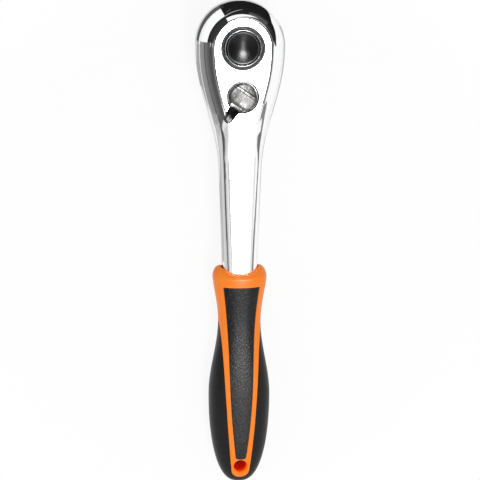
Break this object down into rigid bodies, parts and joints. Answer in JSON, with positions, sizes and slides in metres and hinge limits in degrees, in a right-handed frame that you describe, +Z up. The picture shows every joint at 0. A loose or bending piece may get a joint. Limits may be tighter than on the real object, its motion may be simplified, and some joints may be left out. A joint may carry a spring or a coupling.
{
  "type": "socket ratchet",
  "caption": "Half-inch reversible socket ratchet with a chromed pear head, quick-release button, reversing lever and a two-material orange and black grip.",
  "frame": {"origin": "centre of the flat end face of the square drive", "axes": "+Z up the drive axis toward the button, +Y toward the nose of the head with the handle along -Y, +X to the right seen from the button side with the nose up"},
  "size_m": [0.0438, 0.2485, 0.0433],
  "materials": {
    "chrome": "mirror chrome plating",
    "cast_steel": "satin cast and plated",
    "dark_steel": "phosphated, oiled",
    "bright_steel": "ground or drawn bright",
    "black_gloss": "gloss black",
    "black_rubber": "matte, fine spark-eroded texture",
    "seal_rubber": "smooth nitrile",
    "orange_plastic": "semi-gloss moulded"
  },
  "bodies": {
    "frame": {"ratchet_body": "chrome", "cover_plate": "chrome", "cover_screw_left": "dark_steel", "cover_screw_right": "dark_steel", "pawl_pivot_pin": "bright_steel", "handle_core": "orange_plastic", "side_grip": "black_rubber", "front_grip_panel": "black_rubber", "rear_grip_panel": "black_rubber"},
    "drive": {"drive_gear": "dark_steel", "hub_o_ring": "seal_rubber", "button_spring": "bright_steel"},
    "button": {"release_button": "black_gloss", "release_pin": "bright_steel"},
    "ball": {"detent_ball": "bright_steel"},
    "lever": {"reversing_lever": "cast_steel", "lever_o_ring": "seal_rubber", "lever_clip": "bright_steel", "plunger_spring": "bright_steel"},
    "plunger": {"pawl_plunger": "bright_steel"},
    "pawl": {"pawl": "dark_steel"}
  },
  "joints": [
    {"name": "drive_spin", "type": "hinge", "parent": "frame", "child": "drive", "pos_m": [0, 0, 0.0285], "axis": [0, 0, 1], "continuous": true},
    {"name": "button_press", "type": "slide", "parent": "drive", "child": "button", "axis": [0, 0, -1], "range_m": [0, 0.003], "stiffness_N_per_m": 1500, "springref_m": -0.003, "deforming": ["button_spring"]},
    {"name": "ball_retract", "type": "slide", "parent": "drive", "child": "ball", "axis": [-1, 0, 0], "range_m": [0, 0.0009]},
    {"name": "lever_flip", "type": "hinge", "parent": "frame", "child": "lever", "pos_m": [0, -0.0244, 0.039], "axis": [0, 0, 1], "range_deg": [0, 70]},
    {"name": "pawl_rock", "type": "hinge", "parent": "frame", "child": "pawl", "pos_m": [0, -0.0164, 0.0224], "axis": [0, 0, 1], "range_deg": [-13.79, 0]},
    {"name": "plunger_press", "type": "slide", "parent": "lever", "child": "plunger", "axis": [-0.5736, -0.8192, 0], "range_m": [0, 0.0012], "stiffness_N_per_m": 1500, "springref_m": -0.002, "deforming": ["plunger_spring"]}
  ],
  "couplings": [
    {"joint": "ball_retract", "follows": "button_press", "ratio": 0.3},
    {"joint": "pawl_rock", "follows": "lever_flip", "ratio": -0.1969}
  ]
}
